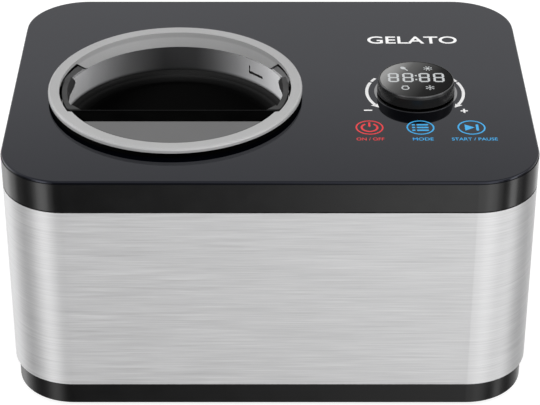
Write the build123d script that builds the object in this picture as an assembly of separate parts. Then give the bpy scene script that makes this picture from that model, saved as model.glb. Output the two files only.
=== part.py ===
"""Counter-top ice cream maker with a built-in compressor. Millimetres, +Z up, +X to the user's right.

The origin is on the floor under the middle of the case. The front of the machine faces -Y.
The removable bowl and its lid stand on the left, the turning control ring on the right.
"""

import os
from math import acos, cos, pi, radians, sin, sqrt, tan

from build123d import *

os.makedirs("parts", exist_ok=True)

# ---- driving dimensions -------------------------------------------------------------------------
WIDTH = 385.0
DEPTH = 281.9
CORNER_R = 46.8
FOOT_H = 5.0
BASE_UNDER = 3.8  # underside of the base tray; the feet carry it
BASE_TOP = FOOT_H + 16.65
STEEL_TOP = FOOT_H + 167.5
DECK_TOP = FOOT_H + 190.4
TOP = FOOT_H + 192.7  # upper face of the glossy panel
BASE_INSET = 2.5
LIP_INSET = 2.6  # hidden lips that centre the steel
SEAM = 0.8  # shadow gap above and below the steel
STEEL_T = 1.2
CASE_WALL = 3.0

WELL_X, WELL_Y = -70.6, -13.5  # vertical axis of bowl, lid and drive shaft
KNOB_X, KNOB_Y = 109.0, -12.0

LID_R = 94.7
LID_RIM_Z = TOP + 3.7
LID_TOP = TOP + 7.3
RING_IN_REAR = 86.5
RING_IN_FRONT = 83.6
RING_STEP_Y = -38.6  # the ring is wider in front of this line
SKIRT_R = 87.6
SKIRT_LOW = TOP - 6.2
DISH_R = 90.0
DISH_UPPER_IN = 87.9
DISH_IN = 86.6
DISH_LEDGE_Z = TOP - 27.0
DISH_FLOOR_Z = TOP - 32.5
DISH_UNDER_Z = TOP - 35.0
DECK_EDGE_Y = -52.6

ARM_OUT, ARM_IN = 84.4, 80.6
ARM_TOP = TOP + 4.5
BAR_FRONT_Y, BAR_REAR_Y = -52.0, -33.5
BAR_FRONT_TOP = TOP + 6.0
PIVOT_Y, PIVOT_Z = 4.0, TOP - 2.0
TAIL_Y = 24.0  # rear end of the grip's arms
HUB_R = 6.5
PIN_R = 2.0

COLLAR_IN, COLLAR_OUT = 90.8, 93.3
BOWL_FLANGE_Z = 157.5
BOWL_R, BOWL_WALL, BOWL_BOTTOM = 78.0, 1.2, 66.0
BARREL_IN, BARREL_OUT, BARREL_BOTTOM = 78.8, 80.0, 62.0
COIL_TUBE_R = 3.2
JACKET_R, JACKET_BOTTOM = 104.0, 56.2
SHAFT_R, SHAFT_TOP, HEX_FROM = 6.0, 106.0, 93.5
TUBE_IN, TUBE_OUT, TUBE_TOP = 8.0, 9.5, 95.0

MODULE = 1.0
PRESSURE_ANGLE = 25.0
OUTPUT_TEETH, IDLER_SMALL_TEETH = 48, 16
IDLER_BIG_TEETH, PINION_TEETH = 42, 14
GEAR_LOW_Z, GEAR_HIGH_Z, GEAR_FACE = 37.5, 45.0, 6.0
IDLER_X = WELL_X + MODULE * (OUTPUT_TEETH + IDLER_SMALL_TEETH) / 2
MOTOR_X = IDLER_X + MODULE * (IDLER_BIG_TEETH + PINION_TEETH) / 2
AXLE_R, RUNNING = 3.0, 0.05

COMP_X, COMP_Y, COMP_R = 118.0, 30.0, 49.0
COMP_LOW, COMP_HIGH = 34.0, 146.0
FAN_X, FAN_Y, FAN_Z, FAN_R = 112.0, 95.0, 92.0, 41.0
CONDENSER_Y = (106.0, 128.0)
BOARD_Z = 179.8
PCB_T = 1.6


# ---- small helpers ------------------------------------------------------------------------------
def cyl(radius, low, high, x=0.0, y=0.0):
    """Upright cylinder between two heights."""
    return Pos(x, y, (low + high) / 2) * Cylinder(radius, high - low)


def tube(outer, inner, low, high, x=0.0, y=0.0):
    return cyl(outer, low, high, x, y) - cyl(inner, low - 1, high + 1, x, y)


def block(x0, x1, y0, y1, z0, z1):
    size = Box(x1 - x0, y1 - y0, z1 - z0)
    return Pos((x0 + x1) / 2, (y0 + y1) / 2, (z0 + z1) / 2) * size


def rounded_slab(width, depth, corner, low, high):
    outline = RectangleRounded(width, depth, corner)
    return Pos(0, 0, low) * extrude(outline, high - low)


def case_wall(inset, thickness, low, high):
    """Upright wall that follows the case's rounded outline, inset from it."""
    outer = rounded_slab(WIDTH - 2 * inset, DEPTH - 2 * inset, CORNER_R - inset, low, high)
    hollow = inset + thickness
    inner = rounded_slab(WIDTH - 2 * hollow, DEPTH - 2 * hollow, CORNER_R - hollow, low - 1, high + 1)
    return outer - inner


def lathe(points, x=WELL_X, y=WELL_Y):
    """Revolves an outline of (radius, height) points about an upright axis."""
    outline = make_face(Polyline([(r, 0, z) for r, z in points], close=True))
    return Pos(x, y, 0) * revolve(outline, Axis.Z, 360)


def lying(radius, x0, x1, y, z):
    """Cylinder along X."""
    return Pos((x0 + x1) / 2, y, z) * Rot(0, 90, 0) * Cylinder(radius, x1 - x0)


def along_y(radius, y0, y1, x, z):
    return Pos(x, (y0 + y1) / 2, z) * Rot(90, 0, 0) * Cylinder(radius, y1 - y0)


def pipe(points, radius, bend):
    """Round tube along straight runs joined by arcs."""
    path = FilletPolyline(*points, radius=bend)
    section = Plane(path @ 0, z_dir=path % 0) * Circle(radius)
    return sweep(section, path)


def screw(x, y, head_z, length, head_r=3.5, shank_r=1.9, up=True):
    """Pan-head screw; its shank points up when up is true, and down otherwise."""
    sign = 1 if up else -1
    head = Pos(x, y, head_z - sign * 1.1) * Cylinder(head_r, 2.2)
    shank = Pos(x, y, head_z + sign * length / 2) * Cylinder(shank_r, length)
    recess = Pos(x, y, head_z - sign * 2.0) * (Box(0.9, 4.4, 1.2) + Box(4.4, 0.9, 1.2))
    return head + shank - recess


def torus_at(major, minor, x, y, z):
    return Pos(x, y, z) * Torus(major, minor)


def write(name, shape):
    shape.label = name
    export_step(shape, f"parts/{name}.step")


def group(solids):
    return Compound(children=list(solids))


# ---- gears --------------------------------------------------------------------------------------
def involute_points(base, r, tooth_half_angle):
    """Polar point of one flank at radius r, measured from the tooth's middle."""
    roll = acos(min(1.0, base / r))
    return tooth_half_angle - (tan(roll) - roll)


def gear(teeth, low, high, bore, x, y, turn_deg=0.0):
    """Spur gear with involute flanks; turn_deg turns its first tooth away from +X."""
    backlash = 0.16
    pitch = MODULE * teeth / 2
    base = pitch * cos(radians(PRESSURE_ANGLE))
    tip, root = pitch + MODULE, pitch - 1.25 * MODULE
    half = (pi * MODULE / 2 - backlash) / 2 / pitch
    rolled = radians(PRESSURE_ANGLE)
    at_base = half + tan(rolled) - rolled
    start = max(base, root)
    radii = [start + (tip - start) * k / 5 for k in range(6)]
    outline = []
    for tooth in range(teeth):
        middle = radians(turn_deg) + 2 * pi * tooth / teeth
        outline.append((root, middle - at_base))
        outline += [(r, middle - involute_points(base, r, at_base)) for r in radii]
        outline += [(r, middle + involute_points(base, r, at_base)) for r in reversed(radii)]
        outline.append((root, middle + at_base))
    face = make_face(Polyline([(r * cos(a), r * sin(a)) for r, a in outline], close=True))
    wheel = Pos(x, y, low) * extrude(face, high - low)
    return wheel - cyl(bore, low - 1, high + 1, x, y)


# ---- case ---------------------------------------------------------------------------------------
REAR_WINDOW = (-60.0, 140.0, 36.0, 152.0)  # x and z limits of the opening in the steel's back
INLET_X, INLET_Z = -110.0, 52.0


def steel_wrap():
    wall = case_wall(0.0, STEEL_T, BASE_TOP + SEAM, STEEL_TOP - SEAM / 3)
    x0, x1, z0, z1 = REAR_WINDOW
    window = block(x0, x1, DEPTH / 2 - 5, DEPTH / 2 + 5, z0, z1)
    half_w, half_h = 16.0, 12.5
    socket = block(INLET_X - half_w, INLET_X + half_w, DEPTH / 2 - 5, DEPTH / 2 + 5, INLET_Z - half_h, INLET_Z + half_h)
    return wall - window - socket


def rear_vent_panel():
    """Plastic plate in the steel's window, with rows of slanted air slots."""
    x0, x1, z0, z1 = REAR_WINDOW
    back = DEPTH / 2 - 0.4
    plate = block(x0 + 0.2, x1 - 0.2, back - 2.4, back, z0 + 0.2, z1 - 0.2)
    lip = block(x0 - 6, x1 + 4, back - 4.6, back - 2.4 + 1.2, z0 - 5, z1 + 5)
    lip -= block(x0 + 0.2, x1 - 0.2, back - 4.6, back, z0 + 0.2, z1 - 0.2)
    lip -= block(x0 - 7, x1 + 7, DEPTH / 2 - STEEL_T - 0.1, DEPTH / 2, z0 - 6, z1 + 6)
    slots = []
    columns, rows = 3, 11
    slot_w, slot_h = 54.0, 4.0
    for column in range(columns):
        for row in range(rows):
            sx = x0 + 36.0 + column * 64.0
            sz = z0 + 14.0 + row * 9.0
            slots.append(Pos(sx, back - 2.4, sz) * Rot(-25, 0, 0) * Box(slot_w, 12, slot_h))
    plate -= slots
    return plate + lip


def power_inlet():
    """Recessed three-pin mains inlet; its flange is behind the steel."""
    back = DEPTH / 2 - STEEL_T - 0.1
    flange = block(INLET_X - 20, INLET_X + 20, back - 2, back, INLET_Z - 15, INLET_Z + 15)
    nose = block(INLET_X - 15.8, INLET_X + 15.8, back - 1, DEPTH / 2 - 0.2, INLET_Z - 12.3, INLET_Z + 12.3)
    shell = block(INLET_X - 14.5, INLET_X + 14.5, back - 20, back - 1, INLET_Z - 11, INLET_Z + 11)
    socket = block(INLET_X - 12.2, INLET_X + 12.2, back - 17, DEPTH / 2 + 1, INLET_Z - 8.3, INLET_Z + 8.3)
    body = flange + nose + shell - socket
    for dx, dz in ((-7.0, -2.0), (7.0, -2.0), (0.0, 2.5)):
        body += block(INLET_X + dx - 1, INLET_X + dx + 1, back - 18, back - 3, INLET_Z + dz - 2.2, INLET_Z + dz + 2.2)
    return body


def base_tray():
    width, depth = WIDTH - 2 * BASE_INSET, DEPTH - 2 * BASE_INSET
    floor = rounded_slab(width, depth, CORNER_R - BASE_INSET, BASE_UNDER, FOOT_H + 3)
    tray = floor + case_wall(BASE_INSET, 2.6, BASE_UNDER, BASE_TOP - 0.1)
    tray += case_wall(LIP_INSET, 2.2, BASE_TOP - 6, BASE_TOP + 8)  # lip inside the steel wrap
    for row in range(9):
        tray -= block(80, 158, -84 + row * 9, -80 + row * 9, BASE_UNDER - 1, FOOT_H + 4)
    for x, y in FOOT_SPOTS:
        tray -= cyl(4.2, BASE_UNDER - 1, FOOT_H + 5, x, y)
    for x, y in COMP_BOLTS:
        tray += cyl(8, FOOT_H + 1, FOOT_H + 12, x, y)
    for x, y in CASE_SCREWS:
        tray += cyl(6, FOOT_H + 1, BASE_TOP + 6, x, y)
        tray -= cyl(2.0, BASE_UNDER - 1, BASE_TOP + 8, x, y)
        tray -= cyl(4.2, BASE_UNDER - 1, FOOT_H + 4, x, y)
    return tray


FOOT_SPOTS = [(sx * 150.0, sy * 100.0) for sx in (-1, 1) for sy in (-1, 1)]
CASE_SCREWS = [(sx * 168.0, sy * 117.0) for sx in (-1, 1) for sy in (-1, 1)]
COMP_BOLTS = [(COMP_X + sx * 50.0, COMP_Y + sy * 34.0) for sx in (-1, 1) for sy in (-1, 1)]


def rubber_feet():
    feet = []
    for x, y in FOOT_SPOTS:
        pad = Pos(x, y, 0) * Cone(10.5, 12.0, BASE_UNDER, align=(Align.CENTER, Align.CENTER, Align.MIN))
        feet.append(pad + cyl(4.0, BASE_UNDER, FOOT_H + 3, x, y) + cyl(6.0, FOOT_H + 3, FOOT_H + 5, x, y))
    return group(feet)


def base_screws():
    return group([screw(x, y, FOOT_H + 4.0, 12.0, 3.9, 1.9) for x, y in CASE_SCREWS])


def top_rim_frame():
    """Glossy upper cover: side band, full deck under the panel, and posts for the boards."""
    band = case_wall(0.0, CASE_WALL, STEEL_TOP + SEAM * 2 / 3, DECK_TOP)
    deck = rounded_slab(WIDTH, DEPTH, CORNER_R, DECK_TOP - 3, DECK_TOP)
    lip = case_wall(LIP_INSET, 2.2, STEEL_TOP - 8, STEEL_TOP + 2)
    cover = band + deck + lip
    cover -= cyl(COLLAR_OUT + 0.1, DECK_TOP - 4, DECK_TOP + 1, WELL_X, WELL_Y)
    cover -= cyl(24.0, DECK_TOP - 4, DECK_TOP + 1, KNOB_X, KNOB_Y)
    for x in KEY_X:
        cover -= cyl(6.5, DECK_TOP - 4, DECK_TOP + 1, x, KEY_Y)
    for x, y in BOARD_POSTS:
        cover += cyl(4.0, BOARD_Z + PCB_T, DECK_TOP - 1, x, y)
    return cover


KEY_X = (72.3, 109.3, 146.4)
KEY_Y = -64.8
BOARD_POSTS = [(57.0, -96.0), (161.0, -96.0), (57.0, 28.0), (161.0, 28.0)]


def top_glass_panel():
    """Glossy black panel with the lid's and the control ring's holes."""
    inset = 0.5
    slab = rounded_slab(WIDTH - 2 * inset, DEPTH - 2 * inset, CORNER_R - inset, DECK_TOP, TOP)
    slab = fillet(slab.faces().sort_by(Axis.Z)[-1].edges(), 0.9)
    slab -= cyl(91.2, DECK_TOP - 1, TOP + 1, WELL_X, WELL_Y)
    return slab - cyl(24.0, DECK_TOP - 1, TOP + 1, KNOB_X, KNOB_Y)


# ---- cold well ----------------------------------------------------------------------------------
def bowl_well_collar():
    """Plastic collar that joins the deck's hole to the cold barrel."""
    points = [
        (COLLAR_IN, BOWL_FLANGE_Z - 0.2), (COLLAR_IN, DECK_TOP - 0.1), (COLLAR_OUT, DECK_TOP - 0.1),
        (COLLAR_OUT, DECK_TOP - 3.1), (COLLAR_OUT + 5, DECK_TOP - 3.1), (COLLAR_OUT + 5, DECK_TOP - 5.4),
        (COLLAR_OUT, DECK_TOP - 5.4), (COLLAR_OUT, BOWL_FLANGE_Z - 2.7), (BARREL_IN + 0.2, BOWL_FLANGE_Z - 2.7),
        (BARREL_IN + 0.2, BOWL_FLANGE_Z - 0.2),
    ]
    return lathe(points)


def evaporator_barrel():
    """Thin aluminium barrel that the bowl stands in."""
    top = BOWL_FLANGE_Z - 2.8
    shell = cyl(BARREL_OUT, BARREL_BOTTOM, top, WELL_X, WELL_Y)
    shell -= cyl(BARREL_IN, BARREL_BOTTOM + 1.5, top + 1, WELL_X, WELL_Y)
    return shell - cyl(12.0, BARREL_BOTTOM - 1, BARREL_BOTTOM + 3, WELL_X, WELL_Y)


COIL_R = BARREL_OUT + COIL_TUBE_R + 0.1
COIL_TURNS = 7


def evaporator_coil():
    """Copper tube wound round the barrel."""
    pitch = 12.0
    path = Helix(pitch, COIL_TURNS * pitch - 6.0, COIL_R)
    section = Plane(path @ 0, z_dir=path % 0) * Circle(COIL_TUBE_R)
    return Pos(WELL_X, WELL_Y, BARREL_BOTTOM + 5.0) * sweep(section, path, is_frenet=True)


def insulation_jacket():
    top = BOWL_FLANGE_Z - 3.0
    foam = cyl(JACKET_R, JACKET_BOTTOM, top, WELL_X, WELL_Y)
    foam -= cyl(COIL_R + COIL_TUBE_R + 0.4, BARREL_BOTTOM - 0.1, top + 1, WELL_X, WELL_Y)
    foam -= cyl(14.0, JACKET_BOTTOM - 1, BARREL_BOTTOM + 1, WELL_X, WELL_Y)
    for z in (SUCTION_Z, CAPILLARY_Z):
        foam -= Pos(WELL_X + 95, PIPE_Y, z) * Rot(0, 90, 0) * Cylinder(4.4, 60)
    return foam


SUCTION_Z, CAPILLARY_Z, PIPE_Y = 136.0, 76.0, 6.0


def shaft_bush():
    """Sintered bush in the barrel's floor."""
    z = BARREL_BOTTOM
    bush = cyl(11.9, z - 7, z + 1.5, WELL_X, WELL_Y) + cyl(13.5, z - 7, z - 0.2, WELL_X, WELL_Y)
    return bush - cyl(SHAFT_R + RUNNING, z - 8, z + 3, WELL_X, WELL_Y)


def shaft_seal():
    z = BARREL_BOTTOM + 1.6
    return tube(10.5, SHAFT_R + RUNNING, z, z + 2.2, WELL_X, WELL_Y)


# ---- bowl and paddle ----------------------------------------------------------------------------
def ice_bowl():
    """Spun aluminium bowl with a rolled flange and a centre tube for the drive shaft."""
    flange_top = BOWL_FLANGE_Z + 2
    points = [
        (TUBE_IN, BOWL_BOTTOM), (BOWL_R - 6, BOWL_BOTTOM), (BOWL_R - 2, BOWL_BOTTOM + 1.6),
        (BOWL_R, BOWL_BOTTOM + 6), (BOWL_R, BOWL_FLANGE_Z), (87.2, BOWL_FLANGE_Z), (88.0, BOWL_FLANGE_Z + 0.8),
        (87.2, flange_top), (BOWL_R - BOWL_WALL + 1.4, flange_top), (BOWL_R - BOWL_WALL, flange_top - 1.4),
        (BOWL_R - BOWL_WALL, BOWL_BOTTOM + 7), (BOWL_R - 3, BOWL_BOTTOM + 3.2), (BOWL_R - 7, BOWL_BOTTOM + 1.6),
        (TUBE_OUT + 2, BOWL_BOTTOM + 1.6), (TUBE_OUT, BOWL_BOTTOM + 3.6), (TUBE_OUT, TUBE_TOP),
        (TUBE_IN, TUBE_TOP),
    ]
    return lathe(points)


def hexagon_prism(across_flats, low, high):
    outline = RegularPolygon(across_flats / 2, 6, major_radius=False)
    return Pos(WELL_X, WELL_Y, low) * extrude(outline, high - low)


def mixing_paddle():
    """Frame paddle: hub over the centre tube, bottom scraper bar, two side scrapers and slanted ribs."""
    reach = BOWL_R - BOWL_WALL - 1.2
    low = BOWL_BOTTOM + 4.4
    hub = cyl(14.0, low, 112.0, 0, 0)
    bar = block(-reach + 5, reach - 5, -3.0, 3.0, low, low + 8)
    top_bar = block(-reach + 3, reach - 3, -2.4, 2.4, 122.0, 129.0)
    paddle = hub + bar + top_bar + block(-6, 6, -2.4, 2.4, 108, 129)
    for side in (-1, 1):
        scraper = block(side * 69 - 6.4, side * 69 + 6.4, -2.4, 2.4, low + 3, 140)
        paddle += scraper
        rib = Pos(side * 41, 0, 98) * Rot(0, side * 28, 0) * Box(7, 4.4, 64)
        paddle += rib & block(-reach, reach, -4, 4, low + 2, 128)
    paddle &= cyl(reach, low, 141, 0, 0)
    paddle -= cyl(TUBE_OUT + 0.5, low - 1, TUBE_TOP + 0.6, 0, 0)
    paddle = Pos(WELL_X, WELL_Y, 0) * paddle
    return paddle - hexagon_prism(9.5, TUBE_TOP, SHAFT_TOP + 0.6)


# ---- drive --------------------------------------------------------------------------------------
def drive_shaft():
    shaft = cyl(SHAFT_R, GEAR_LOW_Z, HEX_FROM, WELL_X, WELL_Y) + cyl(AXLE_R, 35.2, GEAR_LOW_Z, WELL_X, WELL_Y)
    return shaft + hexagon_prism(9.0, HEX_FROM, SHAFT_TOP)


def output_gear():
    low = GEAR_LOW_Z + 0.3
    return gear(OUTPUT_TEETH, low, low + GEAR_FACE, SHAFT_R, WELL_X, WELL_Y)


def idler_gear():
    """Compound idler: the small wheel drives the output gear, the big one meets the motor pinion."""
    y = WELL_Y
    low = GEAR_LOW_Z + 0.3
    small = gear(IDLER_SMALL_TEETH, low, GEAR_HIGH_Z + 0.1, AXLE_R + RUNNING, IDLER_X, y, 180 / IDLER_SMALL_TEETH)
    big = gear(IDLER_BIG_TEETH, GEAR_HIGH_Z, GEAR_HIGH_Z + GEAR_FACE, AXLE_R + RUNNING, IDLER_X, y)
    return small + big


def motor_pinion():
    y = WELL_Y
    wheel = gear(PINION_TEETH, GEAR_HIGH_Z, GEAR_HIGH_Z + GEAR_FACE, 2.5, MOTOR_X, y, 180 / PINION_TEETH)
    return wheel + cyl(2.5, 33.0, GEAR_HIGH_Z + GEAR_FACE, MOTOR_X, y)


def gearbox_outline(grow):
    """Smooth outline round the three wheels."""
    discs = [(WELL_X, 27.5), (IDLER_X, 24.5), (MOTOR_X, 14.0)]
    outline = None
    for x, r in discs:
        disc = Pos(x, WELL_Y) * Circle(r + grow)
        outline = disc if outline is None else outline + disc
    bridge = Pos((WELL_X + MOTOR_X) / 2, WELL_Y) * Rectangle(MOTOR_X - WELL_X, 24 + 2 * grow)
    return outline + bridge


def gearbox_housing():
    low = 35.0
    body = Pos(0, 0, low) * extrude(gearbox_outline(2.0), 16.5)
    body -= Pos(0, 0, low + 2) * extrude(gearbox_outline(0.0), 20)
    body -= cyl(AXLE_R + RUNNING, low - 1, low + 3, WELL_X, WELL_Y)
    body -= cyl(4.0, low - 1, low + 3, MOTOR_X, WELL_Y)
    for x, y in GEARBOX_SCREWS:
        foot = 8.2 if x < IDLER_X else low
        body += cyl(4.0, foot, low + 16.5, x, y)
        body -= cyl(1.9, low + 1, low + 18, x, y)
    return body


GEARBOX_SCREWS = [(WELL_X - 32.0, WELL_Y), (WELL_X + 15.0, WELL_Y + 28.3), (WELL_X + 15.0, WELL_Y - 28.3)]
GEARBOX_SCREWS.append((MOTOR_X + 18.4, WELL_Y))


def gearbox_cover():
    low = 51.6
    cover = Pos(0, 0, low) * extrude(gearbox_outline(2.0), 2.0)
    cover -= cyl(SHAFT_R + 0.4, low - 1, low + 4, WELL_X, WELL_Y)
    for x, y in GEARBOX_SCREWS:
        cover += cyl(4.0, low, low + 2, x, y)
        cover -= cyl(2.0, low - 1, low + 3, x, y)
    return cover


def gearbox_screws():
    return group([screw(x, y, 53.6, 14.0, 2.9, 1.85, up=False) for x, y in GEARBOX_SCREWS])


def idler_axle():
    return cyl(AXLE_R, 37.0, 51.6, IDLER_X, WELL_Y)


def agitator_motor():
    can = cyl(26.0, 9.0, 33.0, MOTOR_X, WELL_Y) - cyl(2.8, 30.0, 34.0, MOTOR_X, WELL_Y)
    can = fillet(can.edges().filter_by(GeomType.CIRCLE).group_by(Axis.Z)[0], 1.5)
    ears = block(MOTOR_X - 33, MOTOR_X + 33, WELL_Y - 6, WELL_Y + 6, 33.0, 34.9) - cyl(4, 32, 36, MOTOR_X, WELL_Y)
    return can + ears


# ---- cooling ------------------------------------------------------------------------------------
def compressor_shell():
    """Welded steel pot with a domed top, a weld seam and four bolt ears."""
    low, high = COMP_LOW, COMP_HIGH
    pot = cyl(COMP_R, low, high, COMP_X, COMP_Y)
    pot = fillet(pot.edges().filter_by(GeomType.CIRCLE), 20.0)
    pot += cyl(COMP_R + 1.6, 88.0, 92.0, COMP_X, COMP_Y)
    plate = block(COMP_X - 56, COMP_X + 56, COMP_Y - 40, COMP_Y + 40, low - 3.0, low + 0.2)
    for x, y in COMP_BOLTS:
        plate -= cyl(5.2, low - 5, low + 2, x, y)
    pot += plate + cyl(30.0, low, low + 3, COMP_X, COMP_Y)
    stubs = lying(4.0, COMP_X - COMP_R - 6, COMP_X - COMP_R + 4, COMP_Y - 8, 112)
    stubs += lying(4.0, COMP_X - COMP_R - 6, COMP_X - COMP_R + 4, COMP_Y + 10, 72)
    return pot + stubs


def compressor_grommets():
    pieces = []
    for x, y in COMP_BOLTS:
        body = cyl(7.5, 17.2, COMP_LOW - 3.1, x, y) + cyl(5.0, COMP_LOW - 3.1, COMP_LOW + 0.4, x, y)
        body += cyl(7.0, COMP_LOW + 0.4, COMP_LOW + 2.6, x, y)
        pieces.append(body - cyl(3.1, 16, COMP_LOW + 4, x, y))
    return group(pieces)


def compressor_bolts():
    pieces = []
    for x, y in COMP_BOLTS:
        head = Pos(x, y, COMP_LOW + 2.7) * extrude(RegularPolygon(5.0, 6), 4.0)
        pieces.append(head + cyl(3.0, 17.1, COMP_LOW + 2.8, x, y))
    return group(pieces)


def relay_cover():
    box = block(COMP_X - 17, COMP_X + 17, COMP_Y - COMP_R - 18, COMP_Y - COMP_R - 0.6, 60, 100)
    box = fillet(box.edges().filter_by(Axis.Z), 3.0)
    return box - cyl(COMP_R + 1.9, 50, 110, COMP_X, COMP_Y)


CONDENSER_ROWS = [44.0 + 12.0 * k for k in range(9)]
CONDENSER_X = (64.0, 160.0)


def condenser_coil():
    """Serpentine of copper tube through the fins, two columns deep."""
    r = 3.0
    x0, x1 = CONDENSER_X
    coil = None
    for index, z in enumerate(CONDENSER_ROWS):
        run = lying(r, x0 - 4, x1 + 4, 117.0, z)
        coil = run if coil is None else coil + run
        if index:
            x = x1 + 4 if index % 2 else x0 - 4
            coil += cyl(r, z - 12.0, z, x, 117.0) + Pos(x, 117.0, z) * Sphere(r) + Pos(x, 117.0, z - 12) * Sphere(r)
    return coil


def condenser_fins():
    fins = []
    x0, x1 = CONDENSER_X
    count = 25
    holes = [lying(3.2, x0 - 8, x1 + 8, 117.0, z) for z in CONDENSER_ROWS]
    for k in range(count):
        x = x0 + 1 + k * (x1 - x0 - 2) / (count - 1)
        fins.append(block(x - 0.3, x + 0.3, CONDENSER_Y[0], CONDENSER_Y[1], 36.5, 147.5) - holes)
    return group(fins)


def fan_shroud():
    """Square frame with three spokes that hold the fan motor."""
    half = 48.0
    y0, y1 = 86.0, 104.0
    frame = block(FAN_X - half, FAN_X + half, y0, y1, FAN_Z - half, FAN_Z + half)
    frame -= along_y(FAN_R + 2.2, y0 - 1, y1 + 1, FAN_X, FAN_Z)
    spokes = block(FAN_X - half + 3, FAN_X + half - 3, y1 - 4, y1 - 1, FAN_Z - 3, FAN_Z + 3)
    spokes += block(FAN_X - 3, FAN_X + 3, y1 - 4, y1 - 1, FAN_Z - half + 3, FAN_Z + half - 3)
    spokes -= along_y(14.2, y0, y1 + 1, FAN_X, FAN_Z)
    ring = along_y(18, y1 - 4, y1 - 1, FAN_X, FAN_Z) - along_y(14.2, y0, y1 + 1, FAN_X, FAN_Z)
    return frame + spokes + ring


def fan_motor():
    can = along_y(14.0, 98.6, 105.0, FAN_X, FAN_Z)
    return can + along_y(1.5, 88.5, 99.0, FAN_X, FAN_Z)


def fan_blades():
    hub = along_y(12.0, 88.0, 98.0, FAN_X, FAN_Z)
    blades = hub
    count = 7
    for k in range(count):
        blade = Box(FAN_R - 10.5, 12.0, 1.6)
        blade = Pos(10.5 + (FAN_R - 10.5) / 2 - 0.2, 0, 0) * Rot(32, 0, 0) * blade
        blades += Pos(FAN_X, 93.0, FAN_Z) * Rot(0, 360 * k / count, 0) * blade
    blades &= along_y(FAN_R, 87.2, 98.2, FAN_X, FAN_Z)
    return blades - along_y(1.5 + RUNNING, 87.0, 99.0, FAN_X, FAN_Z)


def filter_dryer():
    x, y = 47.0, 84.0
    body = cyl(8.0, 62.0, 112.0, x, y)
    body = fillet(body.edges().filter_by(GeomType.CIRCLE), 5.0)
    return body + cyl(2.6, 54.0, 63.0, x, y) + cyl(2.6, 111.0, 120.0, x, y)


def suction_line():
    end_x = COMP_X - COMP_R - 6.2
    start_x = WELL_X + COIL_R + COIL_TUBE_R + 1.5
    points = [(start_x, PIPE_Y, SUCTION_Z), (46, PIPE_Y, SUCTION_Z), (46, COMP_Y - 8, SUCTION_Z)]
    points += [(46, COMP_Y - 8, 112), (end_x, COMP_Y - 8, 112)]
    return pipe(points, 3.0, 7.0)


def discharge_line():
    start_x = COMP_X - COMP_R - 6.2
    points = [(start_x, COMP_Y + 10, 72), (52, COMP_Y + 10, 72), (52, 70, 72), (52, 70, 44)]
    points += [(52, 117, 44)]
    return pipe(points, 3.0, 6.0)


def liquid_line():
    top = CONDENSER_ROWS[-1]
    points = [(CONDENSER_X[0] - 8.0, 117, top), (47, 117, top), (47, 84, top), (47, 84, 120.2)]
    return pipe(points, 2.2, 6.0)


def capillary_tube():
    start_x = WELL_X + COIL_R + COIL_TUBE_R + 1.5
    points = [(47, 84, 53.8), (47, 84, 47), (38, 60, 47), (38, PIPE_Y, 47), (38, PIPE_Y, CAPILLARY_Z)]
    points += [(start_x, PIPE_Y, CAPILLARY_Z)]
    return pipe(points, 1.1, 2.6)


# ---- electrics ----------------------------------------------------------------------------------
def control_board():
    board = block(52, 166, -101, 33, BOARD_Z, BOARD_Z + PCB_T)
    board = fillet(board.edges().filter_by(Axis.Z), 3.0)
    chips = block(70, 84, -40, -26, BOARD_Z - 1.6, BOARD_Z) + block(128, 142, -92, -84, BOARD_Z - 8, BOARD_Z)
    chips += block(66, 74, -92, -84, BOARD_Z - 3, BOARD_Z)
    for x, y in BOARD_POSTS:
        board -= cyl(1.7, BOARD_Z - 1, BOARD_Z + 3, x, y)
    return board + chips


def board_screws():
    return group([screw(x, y, BOARD_Z - 0.05, 1.6, 3.0, 1.6) for x, y in BOARD_POSTS])


def touch_key_springs():
    """Sensing springs that carry each key's touch from the panel to the board."""
    springs = []
    low, high = BOARD_Z + PCB_T, DECK_TOP
    turns = 6
    wire = 0.5
    pitch = (high - low - 2 * wire) / turns
    for x in KEY_X:
        spring = cyl(0.45, low, high, x + 4.5, KEY_Y)
        for k in range(turns + 1):
            spring += torus_at(4.5, wire, x, KEY_Y, low + wire + k * pitch)
        springs.append(spring)
    return group(springs)


def power_board():
    board = block(48, 150, -112, -110.4, 30, 112)
    parts = block(58, 92, -110.4, -84, 44, 76) + block(104, 118, -110.4, -94, 40, 60)
    parts += along_y(7.0, -110.4, -92, 132, 92) + block(60, 72, -110.4, -104, 92, 102)
    stand = block(46, 152, -114.0, -108.4, 8.2, 29.8)
    return board + parts, stand


def run_capacitor():
    can = cyl(17.0, 28.0, 92.0, 20.0, -112.0)
    can = fillet(can.edges().filter_by(GeomType.CIRCLE).group_by(Axis.Z)[-1], 2.0)
    clip = tube(19.0, 17.1, 40.0, 52.0, 20.0, -112.0)
    return can, clip + block(13, 27, -132.2, -129.2, 8.2, 52.0) + block(13, 27, -132.2, -94.0, 8.2, 11.0)


# ---- control ring and display -------------------------------------------------------------------
RING_FOOT_R, RING_TOP_R = 29.0, 28.1  # the control ring tapers slightly towards its face
RING_BORE_R = 27.35
FACE_R = 27.0
FACE_Z = TOP + 11.4


def knob_base_ring():
    """Thin polished washer on the panel under the control ring."""
    points = [(24.2, TOP), (31.0, TOP), (31.0, TOP + 0.35), (24.2, TOP + 0.35)]
    return lathe(points, KNOB_X, KNOB_Y)


def display_housing():
    """Fixed column through the panel; its head carries the display."""
    column = cyl(20.52, BOARD_Z + PCB_T, TOP + 5, KNOB_X, KNOB_Y)
    head = cyl(FACE_R, TOP + 5, FACE_Z - 2.3, KNOB_X, KNOB_Y)
    return column + head - cyl(18.6, BOARD_Z, TOP + 3.2, KNOB_X, KNOB_Y)


def display_lens():
    lens = cyl(FACE_R, FACE_Z - 2.2, FACE_Z, KNOB_X, KNOB_Y)
    return fillet(lens.edges().filter_by(GeomType.CIRCLE).group_by(Axis.Z)[-1], 0.4)


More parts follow.
